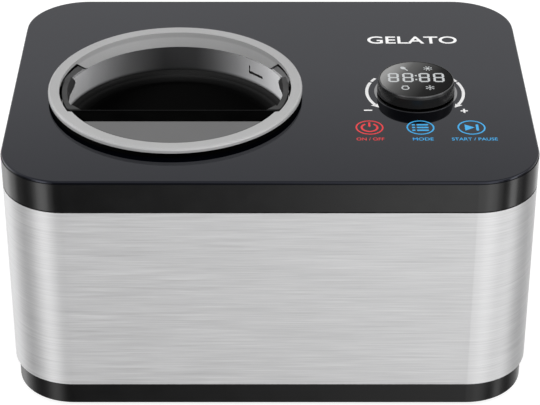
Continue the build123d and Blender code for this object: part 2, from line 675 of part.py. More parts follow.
def knob_ring():
    """Turning ring round the fixed display, with an inner skirt that runs on the column."""
    points = [
        (20.6, TOP - 10.4), (22.4, TOP - 10.4), (22.4, TOP + 1.3), (RING_FOOT_R - 0.6, TOP + 1.3),
        (RING_FOOT_R, TOP + 1.9), (RING_TOP_R + 0.4, FACE_Z - 2.5), (RING_TOP_R, FACE_Z - 0.9),
        (RING_BORE_R, FACE_Z - 0.9), (RING_BORE_R, TOP + 3.9), (20.6, TOP + 3.9),
    ]
    return lathe(points, KNOB_X, KNOB_Y)


def knob_trim_ring():
    """Bright turned edge on top of the control ring."""
    low = FACE_Z - 0.9
    points = [(RING_BORE_R, low), (RING_TOP_R, low), (RING_TOP_R - 0.15, FACE_Z - 0.25)]
    points += [(RING_TOP_R - 0.4, FACE_Z), (RING_BORE_R, FACE_Z)]
    return lathe(points, KNOB_X, KNOB_Y)


def encoder_ring():
    """Slotted ring pressed on the skirt; the board's light gate counts its slots."""
    low = TOP - 13.4
    ring = tube(23.4, 20.9, low, low + 2.9, KNOB_X, KNOB_Y)
    for k in range(24):
        slot = Pos(KNOB_X, KNOB_Y, low) * Rot(0, 0, 15 * k) * Pos(22.9, 0, 0) * Box(2.0, 1.4, 2.4)
        ring -= slot
    return ring


# ---- lid ----------------------------------------------------------------------------------------
def lid_ring():
    """Bright ring: sloping top, wider in front, with a rear skirt whose ends are cut on a slant."""
    points = [
        (RING_IN_FRONT, LID_RIM_Z), (LID_R, LID_RIM_Z), (LID_R, LID_TOP - 1.6), (LID_R - 0.4, LID_TOP - 0.7),
        (LID_R - 1.4, LID_TOP), (RING_IN_FRONT + 3.4, LID_TOP - 0.9), (RING_IN_FRONT, LID_TOP - 1.3),
    ]
    ring = lathe(points)
    bite = cyl(RING_IN_REAR, TOP, LID_TOP + 2, WELL_X, WELL_Y)
    ring -= bite & block(-200, 60, WELL_Y + RING_STEP_Y, 120, TOP - 1, LID_TOP + 3)
    skirt = tube(SKIRT_R, RING_IN_REAR, SKIRT_LOW, LID_RIM_Z + 0.5, WELL_X, WELL_Y)
    for side in (-1, 1):
        skirt = skirt.split(slant_plane(side), keep=Keep.TOP)
    return ring + skirt


def slant_plane(side):
    """Plane through a skirt end: it reaches further forward at the top than at the bottom."""
    azimuth, lean = radians(59.5), radians(51.0)
    radial = Vector(side * sin(azimuth), cos(azimuth), 0)
    tangent = Vector(side * cos(azimuth), -sin(azimuth), 0)
    along = tangent * sin(lean) + Vector(0, 0, 1) * cos(lean)
    normal = along.cross(radial) * side
    origin = Vector(WELL_X, WELL_Y, TOP) + radial * SKIRT_R
    return Plane(origin=origin, x_dir=radial, z_dir=normal)


def dish_section():
    """Half section of the lid's black dish."""
    return [
        (0, DISH_FLOOR_Z), (73.4, DISH_FLOOR_Z), (74.0, DISH_FLOOR_Z + 2.1), (79.6, DISH_LEDGE_Z - 2.6),
        (81.5, DISH_LEDGE_Z - 1.5), (83.8, DISH_LEDGE_Z - 1.6), (85.2, DISH_LEDGE_Z - 1.2),
        (DISH_IN, DISH_LEDGE_Z + 0.4), (DISH_IN, SKIRT_LOW - 0.15), (DISH_UPPER_IN, SKIRT_LOW - 0.15),
        (DISH_UPPER_IN, LID_RIM_Z), (LID_R - 0.4, LID_RIM_Z), (LID_R - 0.4, TOP + 0.1), (DISH_R, TOP + 0.1),
        (DISH_R, DISH_UNDER_Z + 1.0), (DISH_R - 1.0, DISH_UNDER_Z), (0, DISH_UNDER_Z),
    ]


def lid_dish():
    """Black dish with a front wall under the deck plate and bosses for the handle's pins."""
    dish = lathe(dish_section(), 0, 0)
    wall_y = DECK_EDGE_Y - 2.0
    inside = cyl(DISH_UPPER_IN + 0.2, DISH_FLOOR_Z - 0.5, LID_RIM_Z - 0.1)
    dish += inside & block(-100, 100, wall_y - 2.2, wall_y, DISH_FLOOR_Z - 0.5, LID_RIM_Z - 0.1)
    seat = tube(DISH_UPPER_IN + 0.2, 80.0, TOP + 0.6, LID_RIM_Z - 0.1)
    dish += seat & block(-100, 100, -100, wall_y, TOP, LID_RIM_Z)
    for side in (-1, 1):
        boss = lying(4.9, min(side * 84.8, side * 89), max(side * 84.8, side * 89), PIVOT_Y, PIVOT_Z)
        dish += boss
        hole = lying(PIN_R + 0.06, min(side * 80, side * 88.8), max(side * 80, side * 88.8), PIVOT_Y, PIVOT_Z)
        dish -= hole
    dish -= snap_mark()
    return Pos(WELL_X, WELL_Y, 0) * dish


def snap_mark():
    """Shallow L-shaped groove of the ring's snap, low on the dish's right rear wall."""
    low, deep, half = TOP - 19.5, 1.3, 7.3
    band = tube(DISH_IN + deep, DISH_IN - 1, low, low + 2.3)
    post = tube(DISH_IN + deep, DISH_IN - 1, low, low + 7.1)
    turn = Rot(0, 0, 46.3)
    level = turn * block(60, 100, -half, half, low - 1, low + 8)
    upright = turn * block(60, 100, half - 0.9, half, low - 1, low + 8)
    return (band & level) + (post & upright)


def lid_deck():
    """Flat half-moon plate in front of the grip, flush with the ring."""
    low, high = LID_RIM_Z, TOP + 6.0
    disc = cyl(RING_IN_FRONT - 0.5, low, high)
    plate = disc & block(-100, 100, -100, DECK_EDGE_Y, low - 1, high + 1)
    plate = fillet(plate.faces().sort_by(Axis.Z)[-1].edges(), 0.5)
    return Pos(WELL_X, WELL_Y, 0) * plate


def handle_outline():
    """Plan of the fold-flat grip: a straight bar, slanted corners and two curved arms."""
    outer = Circle(ARM_OUT) - Circle(ARM_IN)
    arms = outer & (Pos(0, -13.0) * Rectangle(200, 2 * (13.0 + PIVOT_Y)))
    front_x, rear_x = 62.0, 67.5
    corner_x, corner_y = 73.4, -38.3
    side_y = -30.0
    side_x = sqrt(ARM_IN**2 - side_y**2)
    outer_x = sqrt(ARM_OUT**2 - side_y**2)
    right = [(front_x, BAR_FRONT_Y), (corner_x, corner_y), (outer_x, side_y), (side_x, side_y + 4)]
    right += [(rear_x, BAR_REAR_Y)]
    left = [(-x, y) for x, y in reversed(right)]
    bar = make_face(Polyline(right + left, close=True))
    return arms + bar


def lid_handle():
    """Black grip that folds flat into the lid and stands up on two pins."""
    low = PIVOT_Z
    body = Pos(0, 0, low) * extrude(handle_outline(), BAR_FRONT_TOP - low)
    slope = (ARM_TOP - BAR_FRONT_TOP) / (BAR_REAR_Y - BAR_FRONT_Y)
    far = 60.0
    cut = [
        (BAR_FRONT_Y - 5, BAR_FRONT_TOP - 5 * slope), (BAR_REAR_Y, ARM_TOP), (far, ARM_TOP), (far, TOP + 20),
        (BAR_FRONT_Y - 5, TOP + 20),
    ]
    wedge = extrude(Plane.YZ * make_face(Polyline(cut, close=True)), 100, both=True)
    body -= wedge
    for side in (-1, 1):
        hub = lying(HUB_R, min(side * 70, side * 90), max(side * 70, side * 90), PIVOT_Y, PIVOT_Z)
        body += hub & tube(ARM_OUT, ARM_IN, TOP - 20, ARM_TOP)
    body += arm_tails()
    for side in (-1, 1):
        body -= lying(PIN_R + 0.02, min(side * 70, side * 90), max(side * 70, side * 90), PIVOT_Y, PIVOT_Z)
    return Pos(WELL_X, WELL_Y, 0) * body


def arm_tails():
    """Rear ends of the two arms behind the pins, rounded off towards the dish's wall."""
    low = TOP - 7.0
    side_view = [
        (PIVOT_Y - 1, low), (TAIL_Y - 4, low), (TAIL_Y, low + 2.5), (TAIL_Y, low + 4.5),
        (TAIL_Y - 7, ARM_TOP), (PIVOT_Y - 1, ARM_TOP),
    ]
    profile = make_face(Plane.YZ * Polyline(side_view, close=True))
    return extrude(profile, 100, both=True) & tube(ARM_OUT, ARM_IN, low - 1, ARM_TOP + 1)


def handle_pins():
    pins = []
    for side in (-1, 1):
        pin = lying(PIN_R, min(side * 80.8, side * 88.4), max(side * 80.8, side * 88.4), PIVOT_Y, PIVOT_Z)
        pins.append(Pos(WELL_X, WELL_Y, 0) * pin)
    return group(pins)


def lid_gasket():
    """Silicone ring under the dish that closes on the bowl's flange."""
    high = DISH_UNDER_Z
    low = BOWL_FLANGE_Z + 2.2
    points = [(79.0, high), (79.0, high - 1.2), (81.5, low), (83.5, low), (86.0, high - 1.2), (86.0, high)]
    return lathe(points)


# ---- write the sub-parts ------------------------------------------------------------------------
def main():
    for make in (
        steel_wrap, rear_vent_panel, power_inlet, base_tray, rubber_feet, base_screws, top_rim_frame,
        top_glass_panel, bowl_well_collar, evaporator_barrel, evaporator_coil, insulation_jacket,
        shaft_bush, shaft_seal, ice_bowl, mixing_paddle, drive_shaft, output_gear, idler_gear,
        motor_pinion, gearbox_housing, gearbox_cover, gearbox_screws, idler_axle, agitator_motor,
        compressor_shell, compressor_grommets, compressor_bolts, relay_cover, condenser_coil,
        condenser_fins, fan_shroud, fan_motor, fan_blades, filter_dryer, suction_line, discharge_line,
        liquid_line, capillary_tube, control_board, board_screws, touch_key_springs, knob_base_ring,
        display_housing, display_lens, knob_ring, knob_trim_ring, encoder_ring, lid_ring, lid_dish,
        lid_deck, lid_handle, handle_pins, lid_gasket,
    ):
        write(make.__name__, make())
    board, stand = power_board()
    write("power_board", board)
    write("power_board_stand", stand)
    can, clip = run_capacitor()
    write("run_capacitor", can)
    write("capacitor_clip", clip)


main()
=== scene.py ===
"""Looks, light and camera of the ice cream maker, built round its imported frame. Metres, +Z up."""

from math import cos, pi, radians, sin

import bmesh
import bpy
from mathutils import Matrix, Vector


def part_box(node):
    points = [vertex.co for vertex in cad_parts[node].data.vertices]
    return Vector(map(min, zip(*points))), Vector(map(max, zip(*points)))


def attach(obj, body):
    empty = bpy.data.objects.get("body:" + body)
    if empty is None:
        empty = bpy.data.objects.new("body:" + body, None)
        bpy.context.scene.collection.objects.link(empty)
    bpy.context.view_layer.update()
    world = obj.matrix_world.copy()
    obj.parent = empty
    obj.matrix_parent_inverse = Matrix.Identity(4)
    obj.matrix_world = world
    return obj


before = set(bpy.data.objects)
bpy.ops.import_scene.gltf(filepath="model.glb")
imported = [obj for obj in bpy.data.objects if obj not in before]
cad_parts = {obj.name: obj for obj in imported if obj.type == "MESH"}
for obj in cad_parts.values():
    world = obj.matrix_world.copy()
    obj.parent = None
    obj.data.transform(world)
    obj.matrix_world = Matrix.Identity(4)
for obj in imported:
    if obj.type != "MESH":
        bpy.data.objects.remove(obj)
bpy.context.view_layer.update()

MM = 0.001
HOUSING = "housing"

# ---- places, all from the frame -----------------------------------------------------------------
PANEL_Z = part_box("top_glass_panel")[1].z
STEEL_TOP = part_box("steel_wrap")[1].z
LENS_LOW, LENS_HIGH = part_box("display_lens")
LENS_Z = LENS_HIGH.z
KNOB = (LENS_LOW + LENS_HIGH) / 2
RING_LOW, RING_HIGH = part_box("lid_ring")
LID = (RING_LOW + RING_HIGH) / 2
DISH_LOW, DISH_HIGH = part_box("lid_dish")
LEDGE_Z = DISH_LOW.z + 8.5 * MM  # top of the ledge round the dish's floor
DISH_WALL_R = (DISH_HIGH.x - DISH_LOW.x) / 2 - 7.7 * MM  # inner wall of the dish
BAR_REAR_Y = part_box("lid_handle")[0].y + 18.5 * MM  # rear edge of the grip's bar

# ---- camera -------------------------------------------------------------------------------------
CAMERA_BACK = 1.3556  # in front of the case's middle
CAMERA_UP = 0.7427  # above the panel
CAMERA_TILT = 32.011  # degrees below level
LENS_LENGTH = 136.57  # millimetres, on a sensor 36 mm wide


def make_camera():
    """Long lens from in front, looking down at the case by about a third of a right angle."""
    data = bpy.data.cameras.new("camera")
    data.sensor_width = 36.0
    data.lens = LENS_LENGTH
    data.clip_end = 60.0
    camera = bpy.data.objects.new("camera", data)
    bpy.context.collection.objects.link(camera)
    camera.location = (0.0, -CAMERA_BACK, PANEL_Z + CAMERA_UP)
    camera.rotation_euler = (radians(90 - CAMERA_TILT), 0.0, 0.0)
    bpy.context.scene.camera = camera


# ---- node helpers -------------------------------------------------------------------------------
class Nodes:
    """Short calls for making and joining the nodes of one tree."""

    def __init__(self, tree):
        self.tree = tree

    def node(self, kind, **values):
        node = self.tree.nodes.new(kind)
        for key, value in values.items():
            setattr(node, key, value)
        return node

    def link(self, source, target):
        self.tree.links.new(source, target)

    def span(self, source, low, high, from_low=0.3, from_high=0.7, curve="LINEAR"):
        """Maps from_low..from_high, by default a texture's usual range, to low..high, and clamps it."""
        node = self.node("ShaderNodeMapRange", interpolation_type=curve)
        node.inputs["From Min"].default_value = from_low
        node.inputs["From Max"].default_value = from_high
        node.inputs["To Min"].default_value = low
        node.inputs["To Max"].default_value = high
        self.link(source, node.inputs["Value"])
        return node.outputs["Result"]

    def combine(self, operation, first, second=0.0):
        """Arithmetic on outputs or plain numbers."""
        node = self.node("ShaderNodeMath", operation=operation)
        for socket, value in zip(node.inputs, (first, second)):
            if isinstance(value, (int, float)):
                socket.default_value = value
            else:
                self.link(value, socket)
        return node.outputs[0]

    def weighted(self, first, share, second, other_share):
        """Sum of two outputs, each times its share."""
        part = self.combine("MULTIPLY", first, share)
        other_part = self.combine("MULTIPLY", second, other_share)
        return self.combine("ADD", part, other_part)

    def ramp(self, source, stops, curve="LINEAR"):
        """Colour ramp from (place, colour) stops; a single number is a grey."""
        ramp = self.node("ShaderNodeValToRGB")
        ramp.color_ramp.interpolation = curve
        while len(ramp.color_ramp.elements) < len(stops):
            ramp.color_ramp.elements.new(0.5)
        for element, (place, colour) in zip(ramp.color_ramp.elements, stops):
            element.position = place
            element.color = (*(colour if isinstance(colour, tuple) else (colour,) * 3), 1)
        self.link(source, ramp.inputs["Fac"])
        return ramp.outputs["Color"]

    def blend(self, source, first, second):
        """Colour between first and second by source."""
        return self.ramp(source, ((0.0, first), (1.0, second)))

    def mix(self, factor, first, second):
        """Mix of two colours, each an output or a plain colour."""
        mix = self.node("ShaderNodeMix", data_type="RGBA")
        self.link(factor, mix.inputs["Factor"])
        for socket, value in ((mix.inputs["A"], first), (mix.inputs["B"], second)):
            if isinstance(value, tuple):
                socket.default_value = (*value, 1)
            else:
                self.link(value, socket)
        return mix.outputs["Result"]


class Look(Nodes):
    """A material on the Principled shader, with short calls for the textures that drive it."""

    def __init__(self, name, metallic=0.0, roughness=0.5, specular=0.5):
        self.material = bpy.data.materials.new(name)
        self.material.use_nodes = True
        super().__init__(self.material.node_tree)
        self.shader = self.tree.nodes["Principled BSDF"]
        self.shader.inputs["Metallic"].default_value = metallic
        self.shader.inputs["Roughness"].default_value = roughness
        self.shader.inputs["Specular IOR Level"].default_value = specular

    def place(self, stretch=(1, 1, 1)):
        """Object coordinates in metres, scaled by stretch."""
        coords = self.node("ShaderNodeTexCoord")
        mapping = self.node("ShaderNodeMapping")
        mapping.inputs["Scale"].default_value = stretch
        self.link(coords.outputs["Object"], mapping.inputs["Vector"])
        return mapping.outputs["Vector"]

    def noise(self, stretch=(1, 1, 1), scale=100.0, detail=3.0, rough=0.5):
        """Cloudy noise on the stretched coordinates."""
        noise = self.node("ShaderNodeTexNoise")
        noise.inputs["Scale"].default_value = scale
        noise.inputs["Detail"].default_value = detail
        noise.inputs["Roughness"].default_value = rough
        self.link(self.place(stretch), noise.inputs["Vector"])
        return noise.outputs["Fac"]

    def axis(self, name):
        """One object coordinate, in metres."""
        coords = self.node("ShaderNodeTexCoord")
        split = self.node("ShaderNodeSeparateXYZ")
        self.link(coords.outputs["Object"], split.inputs["Vector"])
        return split.outputs[name]

    def step(self, axis, start, end):
        """0 at start and 1 at end along an axis, for changes of finish at a height or a depth."""
        return self.span(self.axis(axis), 0.0, 1.0, start, end)

    def colour(self, source):
        self.link(source, self.shader.inputs["Base Color"])

    def rough(self, source):
        self.link(source, self.shader.inputs["Roughness"])

    def gloss(self, source):
        self.link(source, self.shader.inputs["Specular IOR Level"])

    def glow(self, colour, strength):
        self.shader.inputs["Emission Color"].default_value = (*colour, 1)
        self.shader.inputs["Emission Strength"].default_value = strength

    def bump(self, height, distance, strength=1.0):
        """Relief from a texture, distance metres deep."""
        bump = self.node("ShaderNodeBump")
        bump.inputs["Distance"].default_value = distance
        bump.inputs["Strength"].default_value = strength
        self.link(height, bump.inputs["Height"])
        self.link(bump.outputs["Normal"], self.shader.inputs["Normal"])


def scaled(colour, factor):
    return tuple(min(1.0, channel * factor) for channel in colour)


def grey(value):
    return (value,) * 3


def moulded(name, colour, roughness, texture=0.00002, grain=2500.0, vary=0.25, specular=0.5):
    """Moulded plastic: fine spark-eroded texture, faint mottling and uneven gloss."""
    look = Look(name, roughness=roughness, specular=specular)
    cloud = look.noise(scale=22.0, detail=4.0)
    look.colour(look.blend(look.span(cloud, 0.0, 1.0), scaled(colour, 1 - vary), scaled(colour, 1 + vary)))
    look.rough(look.span(look.noise(scale=45.0, detail=5.0), roughness * 0.88, roughness * 1.12))
    look.bump(look.noise(scale=grain, detail=2.0), texture)
    return look.material


def metal(name, colour, roughness, stretch=(1, 1, 1), scale=400.0, vary=0.08, texture=0.00001):
    """Bare or plated metal; its grain runs across an axis that is stretched."""
    look = Look(name, metallic=1.0, roughness=roughness)
    grain = look.noise(stretch, scale, 4.0, 0.6)
    look.colour(look.blend(look.span(grain, 0.0, 1.0), scaled(colour, 1 - vary), scaled(colour, 1 + vary)))
    look.rough(look.span(look.noise(stretch, scale * 0.6, 3.0), roughness * 0.8, roughness * 1.25))
    look.bump(grain, texture)
    return look.material


# ---- materials of the case ----------------------------------------------------------------------
def brushed_steel():
    """Stainless sheet brushed level, with long thin streaks in two sizes; its upper cut edge is painted
    near-black as painted shade in the seam under the rim.
    """
    look = Look("steel_brushed", metallic=1.0, roughness=0.42)
    look.shader.inputs["Anisotropic"].default_value = 0.5
    fine = look.noise((26, 26, 1700), 1.0, 4.0, 0.6)
    broad = look.noise((13, 13, 620), 1.0, 3.0, 0.55)
    streaks = look.weighted(fine, 0.65, broad, 0.35)
    sheet = look.blend(look.span(streaks, 0.0, 1.0, 0.36, 0.64), (0.63, 0.63, 0.635), (0.77, 0.77, 0.775))
    # Painted shade: the sheet's top edge is painted near-black where the seam under the rim lies in shade.
    seam_painted_shade = look.step("Z", STEEL_TOP - 0.12 * MM, STEEL_TOP - 0.04 * MM)
    look.colour(look.mix(seam_painted_shade, sheet, grey(0.01)))
    look.rough(look.span(streaks, 0.36, 0.48))
    tangent = look.node("ShaderNodeTangent", direction_type="RADIAL", axis="Z")
    look.link(tangent.outputs["Tangent"], look.shader.inputs["Tangent"])
    look.bump(fine, 0.00002, 0.5)
    return look.material


def gloss_panel():
    """Polished black panel: mirror gloss with a trace of haze."""
    look = Look("panel_gloss_black", roughness=0.03)
    look.shader.inputs["Specular Tint"].default_value = (0.69, 0.72, 0.89, 1)
    cloud = look.noise(scale=9.0, detail=3.0)
    look.colour(look.blend(look.span(cloud, 0, 1), (0.0006, 0.0008, 0.0016), (0.0010, 0.0013, 0.0026)))
    look.rough(look.span(look.noise(scale=60.0, detail=6.0), 0.015, 0.045))
    look.bump(look.noise(scale=30.0, detail=1.0), 0.0000012)
    return look.material


def gloss_band():
    """Glossy moulded rim: slight orange peel."""
    look = Look("rim_gloss_black", roughness=0.14)
    cloud = look.noise(scale=14.0, detail=3.0)
    look.colour(look.blend(look.span(cloud, 0, 1), (0.0014, 0.0014, 0.0015), (0.0024, 0.0024, 0.0025)))
    look.rough(look.span(look.noise(scale=80.0, detail=5.0), 0.11, 0.18))
    look.bump(look.noise(scale=350.0, detail=1.0), 0.000003)
    return look.material


def satin_silver(name, colour, roughness, metallic, skirt_painted_light=1.0):
    """Satin silver paint with a metallic-flake sparkle; from just over the panel down its colour is painted
    brighter by the given factor, as painted light.
    """
    look = Look(name, metallic=metallic, roughness=roughness)
    flake = look.noise(scale=5200.0, detail=1.0)
    cloud = look.noise(scale=20.0, detail=3.0)
    speckle = look.span(look.weighted(flake, 0.6, cloud, 0.4), 0, 1)
    high, low = (
        look.blend(speckle, scaled(colour, 0.92 * part), scaled(colour, 1.08 * part))
        for part in (1.0, skirt_painted_light)
    )
    # Painted light: below this height the colour is the brightened copy.
    above_panel = look.step("Z", PANEL_Z + 1.5 * MM, PANEL_Z + 3.0 * MM)
    look.colour(look.mix(above_panel, low, high))
    look.rough(look.span(flake, roughness * 0.9, roughness * 1.12))
    look.bump(flake, 0.000004)
    return look.material


def lens_smoke():
    """Display window, with a painted reflection: its colour goes from pale at its left rear to black at its
    right front.
    """
    look = Look("display_window", roughness=0.15, specular=0.03)
    lean = 0.5  # how far the painted reflection's lines lean forward
    radius = (LENS_HIGH.x - LENS_LOW.x) / 2
    middle = KNOB.x - KNOB.y * lean
    slope = look.combine("SUBTRACT", look.axis("X"), look.combine("MULTIPLY", look.axis("Y"), lean))
    reflection_across = look.span(slope, 0.0, 1.0, middle - radius, middle + radius)
    # Painted reflection: colour steps from pale at the left rear to black at the right front.
    reflection_tints = ((0.0, 0.34), (0.12, 0.25), (0.27, 0.115), (0.5, 0.055), (0.75, 0.010), (1.0, 0.003))
    look.colour(look.ramp(reflection_across, [(place, (tint, tint, tint * 0.99)) for place, tint in reflection_tints]))
    look.rough(look.span(look.noise(scale=70.0, detail=4.0), 0.12, 0.2))
    return look.material


def from_lid_axis(look):
    """Distance from the lid's axis, and the square of its part across the case."""
    aside = look.combine("SUBTRACT", look.axis("X"), LID.x)
    behind = look.combine("SUBTRACT", look.axis("Y"), LID.y)
    aside_squared = look.combine("MULTIPLY", aside, aside)
    radius_squared = look.combine("ADD", aside_squared, look.combine("MULTIPLY", behind, behind))
    return look.combine("SQRT", radius_squared), aside_squared


def dish_black():
    """Lid dish: satin black wall painted paler towards the sides as painted light; floor and outer lip painted
    dead black, groove and upper wall above the seat painted darker, all as painted shade, and the ledge
    painted a little lighter than the floor.
    """
    look = Look("dish_black", roughness=0.4)
    radius, aside_squared = from_lid_axis(look)
    # Masks for the painted shade and light below: floor and outer lip dead black, groove and upper wall
    # darker, sides paler.
    above_floor = look.step("Z", LEDGE_Z, LEDGE_Z + 2.5 * MM)
    above_ledge = look.step("Z", LEDGE_Z - 4.0 * MM, LEDGE_Z - 2.0 * MM)
    below_lip = look.step("Z", PANEL_Z, PANEL_Z - 0.5 * MM)
    below_seat = look.span(look.axis("Z"), 1.0, 0.2, PANEL_Z - 6.6 * MM, PANEL_Z - 5.4 * MM)
    above_groove = look.step("Z", PANEL_Z - 7.0 * MM, PANEL_Z - 6.5 * MM)
    out_of_groove = look.span(radius, 1.0, 0.0, DISH_WALL_R + 0.10 * MM, DISH_WALL_R + 0.35 * MM)
    within = look.span(radius, 1.0, 0.0, DISH_WALL_R + 1.8 * MM, DISH_WALL_R + 2.6 * MM)

    # Wall mask: 1 where the wall takes its painted-light colour, less where painted shade darkens it.
    wall = look.combine("MULTIPLY", look.combine("MULTIPLY", above_floor, below_lip), below_seat)
    wall = look.combine("MULTIPLY", wall, look.combine("MAXIMUM", out_of_groove, above_groove))
    ledge = look.combine("MULTIPLY", above_ledge, below_lip)
    # Painted light: the wall's colour grows paler towards the sides.
    to_side = look.span(aside_squared, 0.0, 1.0, (12 * MM) ** 2, (80 * MM) ** 2)
    side = look.combine("MULTIPLY", within, to_side)
    mottle = look.span(look.noise(scale=25.0, detail=4.0), 0.85, 1.15)
    wall_painted_light = look.blend(look.combine("MULTIPLY", side, mottle), (0.006, 0.006, 0.0062), (0.088, 0.088, 0.0895))
    # Floor painted dead black and ledge a little lighter, as painted shade and light; the wall takes its
    # painted-light colour.
    look.colour(look.mix(wall, look.blend(ledge, grey(0.0003), grey(0.0022)), wall_painted_light))
    look.gloss(look.weighted(wall, 0.30, ledge, 0.02))
    look.rough(look.span(look.noise(scale=60.0, detail=4.0), 0.34, 0.44))
    look.bump(look.noise(scale=1800.0, detail=2.0), 0.000003)
    return look.material


def grip_black():
    """Dead-matt soft-touch black for the grip's bar; its rear edge has a thin painted highlight, and its arms
    are satin and are also painted lighter as painted light.
    """
    look = Look("grip_soft_black", roughness=0.6, specular=0.0)
    on_arm = look.step("Y", BAR_REAR_Y + 0.5 * MM, BAR_REAR_Y + 2.5 * MM)
    from_edge = look.combine("ABSOLUTE", look.combine("SUBTRACT", look.axis("Y"), BAR_REAR_Y))
    rear_edge_highlight = look.span(from_edge, 1.0, 0.0, 0.25 * MM, 0.55 * MM)
    cloud = look.noise(scale=40.0, detail=4.0)
    black = look.blend(look.span(cloud, 0, 1), grey(0.0015), grey(0.0026))
    # Painted light: the arms and a thin strip at the bar's rear edge are coloured dark grey instead of black.
    look.colour(look.mix(look.combine("MAXIMUM", on_arm, rear_edge_highlight), black, (0.036, 0.036, 0.0365)))
    look.gloss(look.combine("MULTIPLY", on_arm, 0.4))
    look.rough(look.span(look.noise(scale=90.0, detail=3.0), 0.42, 0.58))
    look.bump(look.noise(scale=3000.0, detail=1.0), 0.000008)
    return look.material


def printed(name, colour, glow):
    """Screen-printed ink with a faint edge-to-edge unevenness and a glow: painted light on the panel's inks,
    the lit figures' own light in the display.
    """
    look = Look(name, roughness=0.45, specular=0.3)
    cloud = look.noise(scale=900.0, detail=3.0)
    look.colour(look.blend(look.span(cloud, 0, 1), scaled(colour, 0.93), colour))
    look.glow(colour, glow)
    return look.material


def circuit_board():
    """Green solder mask with tracks and pads."""
    look = Look("circuit_green", roughness=0.35)
    brick = look.node("ShaderNodeTexBrick")
    brick.inputs["Scale"].default_value = 90.0
    brick.inputs["Mortar Size"].default_value = 0.03
    brick.inputs["Color1"].default_value = (0.012, 0.10, 0.035, 1)
    brick.inputs["Color2"].default_value = (0.016, 0.13, 0.045, 1)
    brick.inputs["Mortar"].default_value = (0.05, 0.24, 0.09, 1)
    look.link(look.place(), brick.inputs["Vector"])
    look.colour(brick.outputs["Color"])
    look.rough(look.span(look.noise(scale=300.0), 0.25, 0.45))
    look.bump(brick.outputs["Fac"], 0.00003)
    return look.material


def foam():
    """Skinned polyurethane foam: cells and patches."""
    look = Look("foam_cream", roughness=0.85, specular=0.2)
    cells = look.node("ShaderNodeTexVoronoi")
    cells.inputs["Scale"].default_value = 420.0
    look.link(look.place(), cells.inputs["Vector"])
    patch = look.noise(scale=18.0, detail=6.0)
    look.colour(look.blend(look.span(patch, 0, 1), (0.62, 0.50, 0.26), (0.80, 0.70, 0.44)))
    look.rough(look.span(patch, 0.75, 0.95))
    look.bump(cells.outputs["Distance"], 0.0006)
    return look.material


